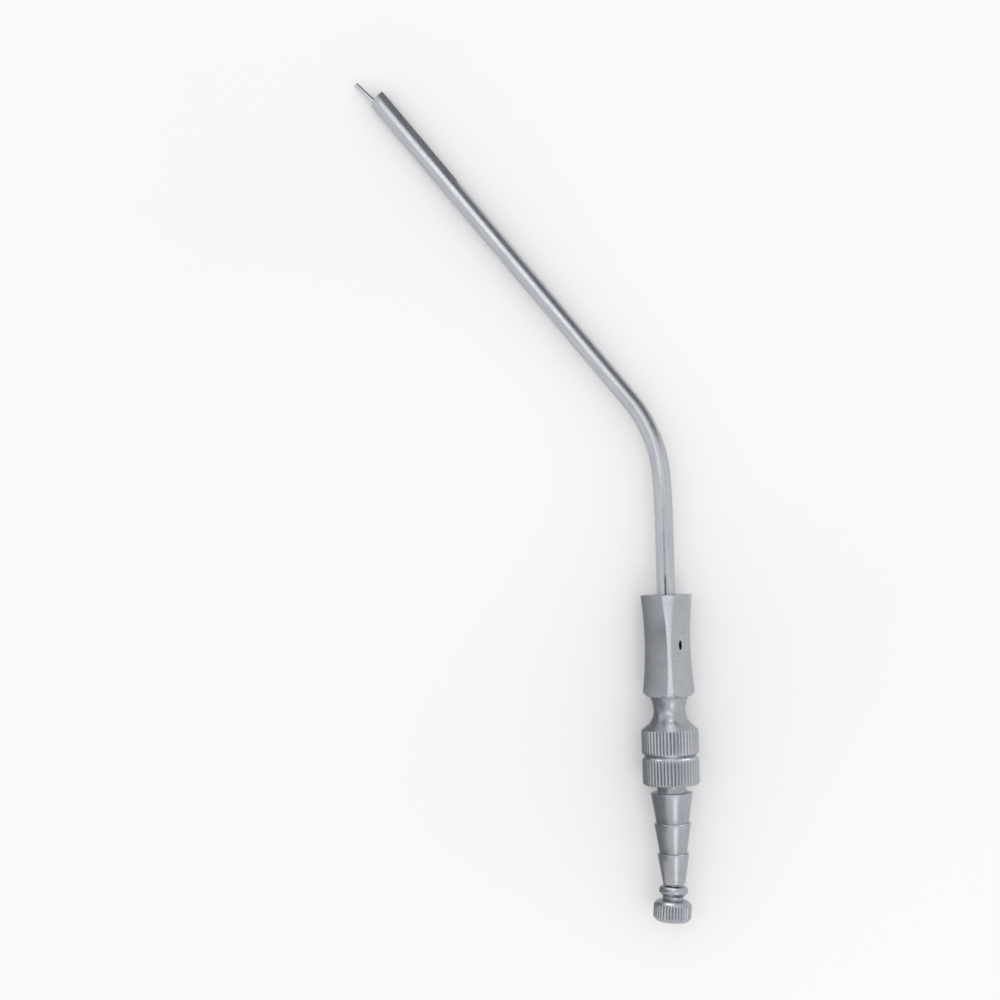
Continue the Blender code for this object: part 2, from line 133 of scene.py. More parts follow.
tube = {
    "length": 130.0,          # working length past the grip, along the centre line
    "radius": 2.0,            # a 12 French tube
    "bore": 1.7,
    "depth": 8.0,             # soldered this deep into the grip
    "endSlant": 12.0,         # the open end is cut a little aslant
    "rim": 0.07,              # rounding of the wall's corners
    "footRun": 1.0,           # the wall's first and last rows lie this far from the ends
    "endRun": 1.5,
    "straight": 15.0,         # from the grip to the gentle curve that leads into the bend
    "leadInRadius": 200.0,
    "leadInAngle": 3.0,
    "leadInSteps": 6,
    "bendRadius": 30.0,
    "bendAngle": 35.4,
    "bendSteps": 44,
    "sides": 96,
    "sharp": 40.0,
}


def centreLine(s):
    # Place and heading of the tube's centre line, s past the grip's top face
    x, z, heading = 0.0, min(s, tube["straight"]), 0.0
    left = s - z
    bends = ((tube["leadInRadius"], tube["leadInAngle"]), (tube["bendRadius"], tube["bendAngle"]))
    for radius, angle in bends:
        turn = min(left / radius, math.radians(angle))
        x += radius * (math.cos(heading + turn) - math.cos(heading))
        z += radius * (math.sin(heading + turn) - math.sin(heading))
        heading += turn
        left -= radius * turn
    return x - left * math.sin(heading), z + left * math.cos(heading), heading


def bendStations():
    leadIn = tube["leadInRadius"] * math.radians(tube["leadInAngle"])
    bend = tube["bendRadius"] * math.radians(tube["bendAngle"])
    start = tube["straight"] + leadIn
    leading = spread(tube["straight"], start, tube["leadInSteps"])[:-1]
    return leading + spread(start, start + bend, tube["bendSteps"])


def makeCannula():
    wall = [-tube["depth"] + tube["footRun"]] + bendStations() + [tube["length"] - tube["endRun"]]
    outer = [(tube["radius"], s, 0.0) for s in reversed(wall)]
    inner = [(tube["bore"], s, 0.0) for s in wall]
    rim = tube["rim"]
    outline = [(tube["radius"], tube["length"], rim)] + outer
    outline += [(tube["radius"], -tube["depth"], rim), (tube["bore"], -tube["depth"], rim)]
    outline += inner + [(tube["bore"], tube["length"], rim)]
    bm = spun(outline, tube["sides"], True)
    slant = math.tan(math.radians(tube["endSlant"]))
    for vert in bm.verts:
        if vert.co.z > tube["length"] - tube["endRun"] / 2.0:
            vert.co.z += vert.co.x * slant
    bent(bm, centreLine)
    finished("bentCannula", bm, instrumentPlace, [polishedTubeSteel], "cannula",
             tube["sharp"])


# Stylet wire: made straight and then bent, as the cannula is

wire = {
    "radius": 0.55,
    "reach": 5.4,             # past the open end
    "end": 0.08,              # rounding of its two ends
    "tipSlope": 0.114,        # past the open end it leans this far aside per millimetre
    "tipRun": 15.5,           # and it comes to that lean over this last length of the tube
    "settle": 14.0,           # past the pivot it is back in the bore's middle after this length
    "pivotRun": 1.0,          # a row this far before the pivot
    "steps": 12,
    "slopeStep": 0.05,        # its heading is taken over this length either way
    "sides": 32,
}


def wireAside(s):
    # How far the wire lies off the tube's centre line, towards the inside of the bend
    past = s - wirePivot
    cocked = math.tan(knobLean) * past
    if past > 0.0:
        cocked *= max(1.0 - past / wire["settle"], 0.0) ** 2
    run = s - (tube["length"] - wire["tipRun"])
    if run < wire["tipRun"]:
        sprung = wire["tipSlope"] * max(run, 0.0) ** 2 / (2.0 * wire["tipRun"])
    else:
        sprung = wire["tipSlope"] * (run - wire["tipRun"] / 2.0)
    return sprung - cocked


def wirePoint(s):
    def place(t):
        x, z, heading = centreLine(t)
        aside = wireAside(t)
        return x - aside * math.cos(heading), z - aside * math.sin(heading)
    x, z = place(s)
    before, after = place(s - wire["slopeStep"]), place(s + wire["slopeStep"])
    return x, z, math.atan2(before[0] - after[0], after[1] - before[1])


def makeWire():
    foot = wirePivot - (knobReach + knob["seatDepth"] - fit["seat"]) * math.cos(knobLean)
    tip = tube["length"] + wire["reach"]
    stations = [wirePivot - wire["pivotRun"]]
    stations += spread(wirePivot, wirePivot + wire["settle"], wire["steps"])
    stations += bendStations()
    stations += spread(tube["length"] - wire["tipRun"], tube["length"], wire["steps"])
    outline = [(0.0, tip, 0.0), (wire["radius"], tip, wire["end"])]
    outline += [(wire["radius"], s, 0.0) for s in reversed(stations)]
    outline += [(wire["radius"], foot, wire["end"]), (0.0, foot, 0.0)]
    bm = spun(outline, wire["sides"], False)
    bent(bm, wirePoint)
    finished("styletWire", bm, instrumentPlace, [drawnWireSteel], "stylet_wire")


# Grip, cove neck and upper ring, turned in one

grip = {
    "length": 22.0,
    "waistDepth": 10.4,       # where the turned outline is narrowest, below the top face
    "waistRadius": 4.92,
    "sweep": 80.0,            # the radius of that outline's curve
    "topEdge": 0.15,
    "topRounding": 0.05,
    "footChamfer": 0.9,
    "chamferRounding": (0.1, 0.08),    # at its upper and lower edge
    "outlineSteps": 30,
    "recordPoint": (-2.3, -2.3, 0.0),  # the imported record's point on the top face
    "faces": 4,
    "faceHalfWidth": 3.75,    # how near a milled face comes to the middle
    "faceSweep": 65.0,        # the radius of its hollow
    "faceCentre": 11.8,       # where it is deepest, below the top face
    "faceShare": 2.0 / 3.0,   # of each quarter's points, how many lie on the milled face
    "landEdge": 0.09,
    "seamRun": 0.02,          # the seam's lengthwise edges are longer than this
    "ventDepth": 10.9,        # the vent's middle, below the top face
    "ventLength": 2.05,
    "ventWidth": 1.1,
    "ventEdge": 0.08,         # its broken edge starts this far below the face
    "ventFlare": 0.6,         # there the punch widens by this share of the hole's size
    "ventPast": 0.8,          # over this length
    "ventSteps": 48,
}

cove = {
    "depth": 25.1,            # its narrowest place, below the top face
    "radius": 3.45,
    "upperSweep": 6.2,        # the radii of its curves above and below
    "upperSteps": 9,
    "lowerSweep": 3.9,
    "lowerAngle": 50.0,
    "lowerSteps": 12,
    "coneShares": (0.4, 0.7, 0.85),    # rows on the cone down to the upper ring
}

rings = {
    "radius": 6.2,
    "topDepth": 29.3,         # the upper ring's top, below the grip's
    "edge": 0.4,
    "shoulderRounding": 0.1,
    "bandInset": 0.5,
    "parting": 34.75,         # the handle ends here, and the hose connector begins
    "lowerRadius": 6.15,
    "lowerLength": 6.3,
    "lowerBandTop": 1.2,
    "lowerBandFoot": 0.8,
    "lowerFootRounding": 0.06,
    "lowerFootShares": (0.33, 0.67),
    "grooveDepth": 0.65,
    "grooveHalf": 0.65,
    "upperLip": 0.24,         # the rounding where the groove leaves each ring
    "lowerLip": 0.42,
    "upperWall": (0.3, 0.6, 0.85, 0.96),  # rows of points down the groove's two walls
    "lowerWall": (0.04, 0.15, 0.35),
    "teeth": 48,
    "toothDepth": 0.22,
    "toothLand": 0.08,
    "knurlPast": 0.02,        # the knurl takes in the lower ring's foot
}


def sweptRadius(height):
    return grip["waistRadius"] + arcRise(grip["sweep"], height + grip["waistDepth"])


def faceDistance(height):
    return grip["faceHalfWidth"] + arcRise(grip["faceSweep"], height + grip["faceCentre"])


def gripOutline():
    top, foot = -grip["topEdge"], grip["footChamfer"] - grip["length"]
    upper, lower = grip["chamferRounding"]
    outline = [(sweptRadius(top) - grip["topEdge"], 0.0, grip["topRounding"])]
    for height in spread(top, foot, grip["outlineSteps"])[:-1]:
        outline.append((sweptRadius(height), height, 0.0))
    outline.append((sweptRadius(foot), foot, upper))
    outline.append((sweptRadius(foot) - grip["footChamfer"], -grip["length"], lower))
    return outline


def coveOutline():
    outline = []
    rise = cove["depth"] - grip["length"]
    for height in spread(rise, 0.0, cove["upperSteps"])[:-1]:
        radius = cove["radius"] + arcRise(cove["upperSweep"], height)
        outline.append((radius, height - cove["depth"], 0.0))
    for angle in spread(0.0, math.radians(cove["lowerAngle"]), cove["lowerSteps"]):
        radius = cove["radius"] + cove["lowerSweep"] * (1.0 - math.cos(angle))
        outline.append((radius, -cove["depth"] - cove["lowerSweep"] * math.sin(angle), 0.0))
    return outline


def handleOutline():
    socket = tube["radius"] + fit["solder"]
    spigot = connector["spigotRadius"] + fit["solder"]
    socketFloor = connector["spigotLength"] + fit["seat"] - rings["parting"]
    tubeSeat = -tube["depth"] - fit["seat"]
    ring, ringTop, edge = rings["radius"], -rings["topDepth"], rings["edge"]
    outline = [(socket + fit["mouth"], 0.0, 0.0)] + gripOutline() + coveOutline()
    flare = outline[-1]
    shoulder = (ring - edge / 2.0, edge / 2.0 + ringTop)
    for share in cove["coneShares"]:
        outline.append((flare[0] + (shoulder[0] - flare[0]) * share,
                        flare[1] + (shoulder[1] - flare[1]) * share, 0.0))
    outline.append((*shoulder, rings["shoulderRounding"]))
    outline.append((ring, ringTop, rings["shoulderRounding"]))
    groove, inset = rings["grooveHalf"] - rings["parting"], rings["bandInset"]
    outline += [(ring, height, 0.0) for height in spread(ringTop - inset, groove + inset, 3)]
    outline.append((ring, groove, rings["upperLip"]))
    for share in rings["upperWall"]:
        radius = ring - rings["grooveDepth"] * share
        outline.append((radius, groove - rings["grooveHalf"] * share, 0.0))
    outline += [
        (ring - rings["grooveDepth"], -rings["parting"], 0.0),
        (spigot, -rings["parting"], 0.0),
        (spigot, socketFloor, 0.0),
        (tube["bore"], socketFloor, 0.0),
        (tube["bore"], tubeSeat, 0.0),
        (socket, tubeSeat, 0.0),
        (socket, -fit["mouth"], 0.0),
    ]
    return outline


def millFaces(bm):
    # Four hollow faces. In each quarter the points are shared out afresh, so that a line of them
    # lies just where the milled face leaves the turned land, and that line is rounded at the end.
    quarter = math.radians(360.0 / grip["faces"])
    half = quarter / 2.0
    share = half * grip["faceShare"]
    milled, borders = set(), set()
    for vert in bm.verts:
        radius = math.hypot(vert.co.x, vert.co.y)
        if vert.co.z < -grip["length"] - fit["seat"] or radius <= grip["faceHalfWidth"]:
            continue
        away = faceDistance(vert.co.z)
        if radius <= away:
            continue
        angle = math.atan2(vert.co.y, vert.co.x) - half
        centre = round(angle / quarter) * quarter
        off = angle - centre
        edgeAngle = math.acos(away / radius)
        if abs(abs(off) - share) < slack:
            borders.add(vert)
        if abs(off) < share + slack:
            milled.add(vert)
            off *= edgeAngle / share
            radius = away / math.cos(off)
        else:
            past = (abs(off) - share) / (half - share)
            off = math.copysign(edgeAngle + (half - edgeAngle) * past, off)
        vert.co.x = radius * math.cos(off + centre + half)
        vert.co.y = radius * math.sin(off + centre + half)
    for face in bm.faces:
        flatEnd = abs(face.normal.z) >= 0.9
        if all(vert in milled for vert in face.verts) and not flatEnd:
            face.material_index = 1
    seams = [edge for edge in bm.edges if edge.verts[0] in borders and edge.verts[1] in borders
             and abs(edge.verts[0].co.z - edge.verts[1].co.z) > grip["seamRun"]]
    bmesh.ops.bevel(bm, geom=seams, offset=grip["landEdge"], offset_type="OFFSET", segments=2,
                    profile=0.5, affect="EDGES", clamp_overlap=True, material=-1)


def cutVent(piece):
    # An oval hole through the upper right face into the channel. The punch widens at the face, so
    # that the hole's edge is broken.
    seat = faceDistance(-grip["ventDepth"]) - grip["ventEdge"]
    past = seat + grip["ventPast"]
    bm = spun([(0.0, 0.0, 0.0), (0.5, 0.0, 0.0), (0.5, seat, 0.0),
               (0.5 + grip["ventFlare"], past, 0.0), (0.0, past, 0.0)], grip["ventSteps"], False)
    bmesh.ops.scale(bm, verts=bm.verts, vec=(grip["ventLength"], grip["ventWidth"], 1.0))
    bmesh.ops.rotate(bm, verts=bm.verts, matrix=Matrix.Rotation(math.pi / 2.0, 3, "Y"))
    bmesh.ops.rotate(bm, verts=bm.verts, matrix=Matrix.Rotation(-math.pi / 4.0, 3, "Z"))
    bmesh.ops.translate(bm, verts=bm.verts, vec=(0.0, 0.0, -grip["ventDepth"]))
    bm.transform(instrumentPlace @ Matrix.Scale(mm, 4))
    mesh = bpy.data.meshes.new("ventPunch")
    bm.to_mesh(mesh)
    bm.free()
    punch = bpy.data.objects.new("ventPunch", mesh)
    bpy.context.scene.collection.objects.link(punch)
    hole = piece.modifiers.new("vent", "BOOLEAN")
    hole.operation = "DIFFERENCE"
    hole.solver = "EXACT"
    hole.object = punch
    graph = bpy.context.evaluated_depsgraph_get()
    cut = bpy.data.meshes.new_from_object(piece.evaluated_get(graph))
    piece.modifiers.clear()
    piece.data = cut
    bpy.data.objects.remove(punch, do_unlink=True)


def makeGrip():
    bm = spun(handleOutline(), toothSteps * rings["teeth"], True)
    cutKnurl(bm, {"radius": rings["radius"], "depth": rings["toothDepth"], "teeth": rings["teeth"],
                  "land": rings["toothLand"], "top": rings["edge"] - rings["topDepth"],
                  "foot": -math.inf})
    millFaces(bm)
    piece = finished("thumbGrip", bm, instrumentPlace, [turnedGripSteel, milledGripSteel],
                     "handle")
    cutVent(piece)


# Hose connector: spigot, lower ring, neck and falling barbs

connector = {
    "bore": 1.65,
    "spigotRadius": 2.5,
    "spigotLength": 4.8,
    "spigotRounding": 0.2,
    "neckRadius": 3.15,
    "neckLength": 1.75,
    "neckRounding": 0.12,
    "barbs": 3,
    "rimRadius": 4.55,
    "rimStep": 0.55,          # each barb's rim is this much smaller than the last one's
    "pitch": 6.58,
    "fall": 1.05,             # how much a barb narrows from rim to root
    "fallShares": (0.25, 0.5, 0.75),
    "rimRounding": 0.1,
    "rootRounding": 0.06,
    "endRounding": 0.08,
}


def connectorOutline():
    ring, foot = rings["lowerRadius"], -rings["lowerLength"]
    top = -fit["seat"]
    outline = [
        (connector["bore"], connector["spigotLength"], 0.0),
        (connector["spigotRadius"], connector["spigotLength"], connector["spigotRounding"]),
        (connector["spigotRadius"], top, 0.0),
        (ring - rings["grooveDepth"], top, 0.0),
    ]
    for share in rings["lowerWall"]:
        radius = ring - rings["grooveDepth"] * (1.0 - share)
        outline.append((radius, top - rings["grooveHalf"] * share, 0.0))
    outline.append((ring, top - rings["grooveHalf"], rings["lowerLip"]))
    bandTop, bandFoot = top - rings["lowerBandTop"], foot + rings["lowerBandFoot"]
    outline += [(ring, height, 0.0) for height in spread(bandTop, bandFoot, 3)]
    outline.append((ring, foot + rings["edge"], rings["lowerFootRounding"]))
    for share in rings["lowerFootShares"]:
        outline.append((ring - rings["edge"] * share, foot + rings["edge"] * (1.0 - share), 0.0))
    barbTop = foot - connector["neckLength"]
    outline += [
        (ring - rings["edge"], foot, rings["lowerFootRounding"]),
        (connector["neckRadius"], foot, connector["neckRounding"]),
        (connector["neckRadius"], barbTop, connector["neckRounding"]),
    ]
    for i in range(connector["barbs"]):
        rim = connector["rimRadius"] - i * connector["rimStep"]
        start = barbTop - i * connector["pitch"]
        end = start - connector["pitch"]
        outline.append((rim, start, connector["rimRounding"]))
        for share in connector["fallShares"]:
            outline.append((rim - connector["fall"] * share, start + (end - start) * share, 0.0))
        last = i == connector["barbs"] - 1
        rounding = connector["rimRounding"] if last else connector["rootRounding"]
        outline.append((rim - connector["fall"], end, rounding))
    outline.append((connector["bore"], end, connector["endRounding"]))
    return outline


def makeConnector():
    bm = spun(connectorOutline(), toothSteps * rings["teeth"], True)
    cutKnurl(bm, {"radius": rings["lowerRadius"], "depth": rings["toothDepth"],
                  "teeth": rings["teeth"], "land": rings["toothLand"], "top": 0.0,
                  "foot": -rings["lowerLength"] - rings["knurlPast"]})
    finished("hoseConnector", bm, connectorPlace, [turnedConnectorSteel],
             "hose_connector")


# Stylet head: bead, neck and domed knurled knob

knob = {
    "beadTop": 2.5,           # the radius that meets the connector's end
    "bossRadius": 1.2,
    "bossLength": 0.2,
    "bossRounding": (0.04, 0.06),      # at its end and its root
    "beadTopRadius": 2.78,
    "beadTopRounding": 0.08,
    "beadRadius": 3.15,
    "beadBandTop": 0.75,
    "beadBandFoot": 1.5,
    "beadRounding": 0.2,
    "beadLength": 2.3,
    "beadFoot": (0.2, 0.18),  # a row out from the neck and up from the bead's end
    "neckRadius": 2.28,
    "neckLength": 0.75,
    "neckRounding": 0.06,
    "neckRows": (0.2, 0.08),  # rows this far from the neck's two ends
    "radius": 4.12,
    "domeHeight": 1.4,
    "domeStart": (0.0, 0.04, 0.13),    # the dome's first rows, as angles in radians
    "domeSteps": 12,
    "bandHeight": 2.4,
    "bandSteps": 4,
    "footWidth": 0.7,
    "footHeight": 0.8,
    "footShares": (0.3, 0.6),
    "footRounding": 0.15,
    "teeth": 36,
    "toothDepth": 0.21,
    "toothLand": 0.08,
    "lean": 4.3,              # the springy wire cocks the head in the bore
    "pivot": 1.2,             # the wire crosses the bore's middle this far inside
    "seatDepth": 3.0,         # the wire's hole in the head
}


def knobOutline():
    hole = wire["radius"] + fit["solder"]
    domeTop = -knob["beadLength"] - knob["neckLength"]
    bandTop = domeTop - knob["domeHeight"]
    bandFoot = bandTop - knob["bandHeight"]
    foot = bandFoot - knob["footHeight"]
    outline = [
        (0.0, -knob["seatDepth"], 0.0),
        (hole, -knob["seatDepth"], 0.0),
        (hole, 0.0, 0.0),
        (knob["bossRadius"], 0.0, knob["bossRounding"][0]),
        (knob["bossRadius"], -knob["bossLength"], knob["bossRounding"][1]),
        (knob["beadTopRadius"], -knob["bossLength"], knob["beadTopRounding"]),
        (knob["beadRadius"], -knob["beadBandTop"], knob["beadRounding"]),
        (knob["beadRadius"], -knob["beadBandFoot"], knob["beadRounding"]),
        (knob["neckRadius"] + knob["beadFoot"][0], knob["beadFoot"][1] - knob["beadLength"], 0.0),
        (knob["neckRadius"], -knob["beadLength"], knob["neckRounding"]),
        (knob["neckRadius"], -knob["beadLength"] - knob["neckRows"][0], 0.0),
        (knob["neckRadius"], domeTop + knob["neckRows"][1], 0.0),
    ]
    *first, start = knob["domeStart"]
    for angle in first + spread(start, math.pi / 2.0, knob["domeSteps"]):
        radius = knob["neckRadius"] + (knob["radius"] - knob["neckRadius"]) * math.sin(angle)
        outline.append((radius, domeTop - knob["domeHeight"] * (1.0 - math.cos(angle)), 0.0))
    for height in spread(bandTop, bandFoot, knob["bandSteps"])[1:-1]:
        outline.append((knob["radius"], height, 0.0))
    outline.append((knob["radius"], bandFoot, knob["footRounding"]))
    for share in knob["footShares"]:
        radius = knob["radius"] - knob["footWidth"] * share
        outline.append((radius, bandFoot - knob["footHeight"] * share, 0.0))
    outline.append((knob["radius"] - knob["footWidth"], foot, knob["footRounding"]))
    outline.append((0.0, foot, 0.0))
    return outline


def makeKnob():
    bm = spun(knobOutline(), toothSteps * knob["teeth"], False)
    cutKnurl(bm, {"radius": knob["radius"], "depth": knob["toothDepth"], "teeth": knob["teeth"],
                  "land": knob["toothLand"], "top": -knob["beadLength"] - knob["neckLength"] / 2.0,
                  "foot": -math.inf})
    finished("styletKnob", bm, knobPlace, [turnedKnobSteel], "stylet_knob")


# Where the instrument lies

def restingPlace():
    # It lies on the grip's top edge, the upper ring's edge and the tube's end, so those three
    # give the turn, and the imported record's point on the grip's top face gives the place.
    topRadius = sweptRadius(-grip["topEdge"])
    along = (topRadius - rings["radius"]) / (rings["topDepth"] - grip["topEdge"])
    level = rings["radius"] + along * rings["topDepth"]
    x, z, heading = centreLine(tube["length"])
    across = (tube["radius"] - level - along * z) / x
    up = -Vector((-across, 1.0, -along)).normalized()
    axis = Vector((0.0, 0.0, 1.0))
    forward = (axis - axis.dot(up) * up).normalized()
    turn = Matrix((forward.cross(up), forward, up)).to_4x4()
    mounts = frame["record"]["mounts"]
    topFace = next(mount for mount in mounts if mount["name"] == "handle_top_face")
    onFace = Vector(grip["recordPoint"]) * mm
    return Matrix.Translation(Vector(topFace["pos_m"]) - turn @ onFace) @ turn


barbsLength = connector["barbs"] * connector["pitch"]
connectorLength = rings["lowerLength"] + connector["neckLength"] + barbsLength
instrumentPlace = restingPlace()
connectorPlace = instrumentPlace @ Matrix.Translation((0.0, 0.0, -rings["parting"] * mm))
# The head turns about a pivot inside the connector's end, until its bead meets that end
wirePivot = knob["pivot"] - connectorLength - rings["parting"]
knobLean = math.radians(knob["lean"])
knobReach = knob["pivot"] / math.cos(knobLean) + knob["beadTop"] * math.tan(knobLean) + fit["seat"]
knobSeat = Vector((-knobReach * math.sin(knobLean), 0.0,
                   knob["pivot"] - connectorLength - knobReach * math.cos(knobLean)))
knobPlace = connectorPlace @ Matrix.Translation(knobSeat * mm) @ Matrix.Rotation(knobLean, 4, "Y")
print("instrument lies at", [round(value / mm, 3) for value in instrumentPlace.translation])


# Materials

finish = {                    # light and dark colour, and roughness
    "satin": ("#B1B3B9", "#9FA2A8", 0.3),      # turned and blasted stainless steel, a cool grey
    "milled": ("#BCBEC4", "#A9ACB2", 0.3),     # the milled faces are a little lighter
    "polished": ("#BEC0C6", "#ADAFB6", 0.28),  # drawn and polished tube
    "drawn": ("#CFCFD6", "#BDBDC6", 0.3),      # drawn wire, the lightest
}

uneven = (-0.04, 0.06)        # how far the roughness strays from its value

# Each pattern's scale per millimetre. Lines that run along a piece are stretched that way.
patterns = {
    "turnLines": 3.3,
    "millLines": (2.8, 2.8, 0.16),
    "grain": 2.9,
    "cloud": 0.25,
    "dieLines": (3.3, 3.3, 0.12),
    "waver": 0.9,
}

# How high the bumps stand, in millimetres
bumps = {"toolLines": 0.006, "grain": 0.012, "dieLines": 0.004, "waver": 0.02}

# A painted reflection: a dark line along the tube's upper side, dark near the grip and then faint
paintedReflectionLine = {
    "colour": "#4C4C54",
    "aside": 0.22,            # how far it lies from the tube's middle
    "across": (0.1, 0.25, 1.0),    # where it starts to fade, where it ends, and its strength
    "dark": (3.4, 4.6, 0.65),
    "faint": (17.0, 29.0, 0.24),
}


def linearColour(code):
    shares = [int(code[i:i + 2], 16) / 255.0 for i in (1, 3, 5)]
    return [s / 12.92 if s <= 0.04045 else ((s + 0.055) / 1.055) ** 2.4 for s in shares] + [1.0]


def addNode(tree, kind, settings, links):
    node = tree.nodes.new("ShaderNode" + kind)
    for name, value in settings.items():
        if name == "stops":
            for stop, (position, colour) in zip(node.color_ramp.elements, value):
                stop.position = position
                stop.color = colour
        elif isinstance(name, int) or name in node.inputs:
            node.inputs[name].default_value = value
        else:
            setattr(node, name, value)
    for name, source in links.items():
        tree.links.new(source, node.inputs[name])
    return node


def steelBase(name, roughness):
    material = bpy.data.materials.new(name)
    material.use_nodes = True
    shader = material.node_tree.nodes["Principled BSDF"]
    shader.inputs["Metallic"].default_value = 1.0
    shader.inputs["Roughness"].default_value = roughness
    return material, material.node_tree, shader


def satinSteel(name, look, place, milled):
    # Stainless steel turned on a lathe, or milled lengthwise, and blasted to a satin. It gives a
    # soft broad shine with a fine speckle, edges and tooth crests that handling has brightened, and
    # painted shade in its roots, grooves and hollows.
    light, dark, roughness = look
    material, tree, shader = steelBase(name, roughness)
    # The patterns lie along the piece, in its own millimetres
    found = addNode(tree, "TexCoord", {}, {})
    at = addNode(tree, "Mapping", {
        "vector_type": "TEXTURE", "Location": place.translation,
        "Rotation": place.to_euler(), "Scale": (mm, mm, mm),
    }, {"Vector": found.outputs["Object"]}).outputs["Vector"]
    if milled:
        # Cutter lines of 0.1 mm, drawn at 0.35 mm so that they show
        stretched = addNode(tree, "Mapping", {"Scale": patterns["millLines"]}, {"Vector": at})
        lines = addNode(tree, "TexNoise", {"Scale": 1.0, "Detail": 3.0, "Roughness": 0.6},
                        {"Vector": stretched.outputs["Vector"]}).outputs["Fac"]
    else:
        # Turning rings of 0.08 mm, drawn at 0.3 mm so that they show
        height = addNode(tree, "SeparateXYZ", {}, {"Vector": at}).outputs["Z"]
        lines = addNode(tree, "TexNoise", {
            "noise_dimensions": "1D", "Scale": patterns["turnLines"], "Detail": 2.0, "Roughness": 0.7,
        }, {"W": height}).outputs["Fac"]
    # Blasted grain, 0.05 mm in truth and drawn at 0.35 mm
    grain = addNode(tree, "TexNoise", {
        "Scale": patterns["grain"], "Detail": 4.0, "Roughness": 0.65,
    }, {"Vector": at}).outputs["Fac"]
    # Slow clouding over 4 mm, from handling and cleaning
    cloud = addNode(tree, "TexNoise", {"Scale": patterns["cloud"], "Detail": 2.0},
                    {"Vector": at}).outputs["Fac"]
    tone = addNode(tree, "Math", {"operation": "MULTIPLY_ADD", 1: 0.45},
                   {0: cloud, 2: grain}).outputs["Value"]
    speckle = addNode(tree, "ValToRGB", {
        "stops": [(0.55, linearColour(dark)), (0.9, linearColour(light))],
    }, {"Fac": tone}).outputs["Color"]
    # Crests that handling has brightened, and painted shade that darkens roots, grooves and creases
    bend = addNode(tree, "NewGeometry", {}, {}).outputs["Pointiness"]
    wornAndShaded = addNode(tree, "ValToRGB", {
        "stops": [(0.42, (0.58, 0.58, 0.59, 1.0)), (0.52, (1.0, 1.0, 1.0, 1.0))],
    }, {"Fac": bend}).outputs["Color"]
    colour = addNode(tree, "MixRGB", {"blend_type": "MULTIPLY", "Fac": 1.0},
                     {"Color1": speckle, "Color2": wornAndShaded}).outputs["Color"]
    shine = addNode(tree, "MapRange", {
        "From Min": 0.3, "From Max": 0.7,
        "To Min": roughness + uneven[0], "To Max": roughness + uneven[1],
    }, {"Value": grain}).outputs["Result"]
    tooled = addNode(tree, "Bump", {"Strength": 1.0, "Distance": bumps["toolLines"] * mm},
                     {"Height": lines})
    grained = addNode(tree, "Bump", {"Strength": 1.0, "Distance": bumps["grain"] * mm},
                      {"Height": grain, "Normal": tooled.outputs["Normal"]})
    tree.links.new(colour, shader.inputs["Base Color"])
    tree.links.new(shine, shader.inputs["Roughness"])
    tree.links.new(grained.outputs["Normal"], shader.inputs["Normal"])
    return material


def drawnSteel(name, look, paintsReflection):
    # Stainless steel drawn through a die and polished. Faint lines run along it round the bend,
    # and the polish is a little uneven, so the edges of its reflections waver.
    light, dark, roughness = look
    material, tree, shader = steelBase(name, roughness)
    at = addNode(tree, "Attribute", {"attribute_name": "straightened"}, {}).outputs["Vector"]
    # Die lines of 0.02 mm, drawn at 0.3 mm, and some 8 mm long
    stretched = addNode(tree, "Mapping", {"Scale": patterns["dieLines"]}, {"Vector": at})
    lines = addNode(tree, "TexNoise", {"Scale": 1.0, "Detail": 3.0, "Roughness": 0.6},
                    {"Vector": stretched.outputs["Vector"]}).outputs["Fac"]
    # The polish wavers over 1.1 mm
    waver = addNode(tree, "TexNoise", {
        "Scale": patterns["waver"], "Detail": 3.0, "Roughness": 0.6,
    }, {"Vector": at}).outputs["Fac"]
    tone = addNode(tree, "ValToRGB", {
        "stops": [(0.35, linearColour(dark)), (0.65, linearColour(light))],
    }, {"Fac": lines}).outputs["Color"]
    if paintsReflection:
        # A dark line painted along the side that faces up, a painted reflection, dark for 4 mm above
        # the grip and then faint
        part = addNode(tree, "SeparateXYZ", {}, {"Vector": at}).outputs
        aside = addNode(tree, "Math", {"operation": "ADD", 1: paintedReflectionLine["aside"]},
                        {0: part["X"]}).outputs["Value"]
        aside = addNode(tree, "Math", {"operation": "ABSOLUTE"}, {0: aside}).outputs["Value"]
        fades = []
        for fade, run in (("across", aside), ("dark", part["Z"]), ("faint", part["Z"])):
            start, end, strength = paintedReflectionLine[fade]
            fades.append(addNode(tree, "MapRange", {
                "From Min": start, "From Max": end, "To Min": strength, "To Max": 0.0,
            }, {"Value": run}).outputs["Result"])
        mark, near, far = fades
        length = addNode(tree, "Math", {"operation": "ADD"}, {0: near, 1: far}).outputs["Value"]
        upper = addNode(tree, "Math", {"operation": "LESS_THAN", 1: 0.0},
                        {0: part["Y"]}).outputs["Value"]
        for share in (length, upper):
            mark = addNode(tree, "Math", {"operation": "MULTIPLY"},
                           {0: mark, 1: share}).outputs["Value"]
        tone = addNode(tree, "MixRGB", {"Color2": linearColour(paintedReflectionLine["colour"])},
                       {"Fac": mark, "Color1": tone}).outputs["Color"]
    shine = addNode(tree, "MapRange", {
        "From Min": 0.3, "From Max": 0.7,
        "To Min": roughness + uneven[0], "To Max": roughness + uneven[1],
    }, {"Value": waver}).outputs["Result"]
    lined = addNode(tree, "Bump", {"Strength": 1.0, "Distance": bumps["dieLines"] * mm},
                    {"Height": lines})
    wavered = addNode(tree, "Bump", {"Strength": 1.0, "Distance": bumps["waver"] * mm},
                      {"Height": waver, "Normal": lined.outputs["Normal"]})
    tree.links.new(tone, shader.inputs["Base Color"])
    tree.links.new(shine, shader.inputs["Roughness"])
    tree.links.new(wavered.outputs["Normal"], shader.inputs["Normal"])
    return material


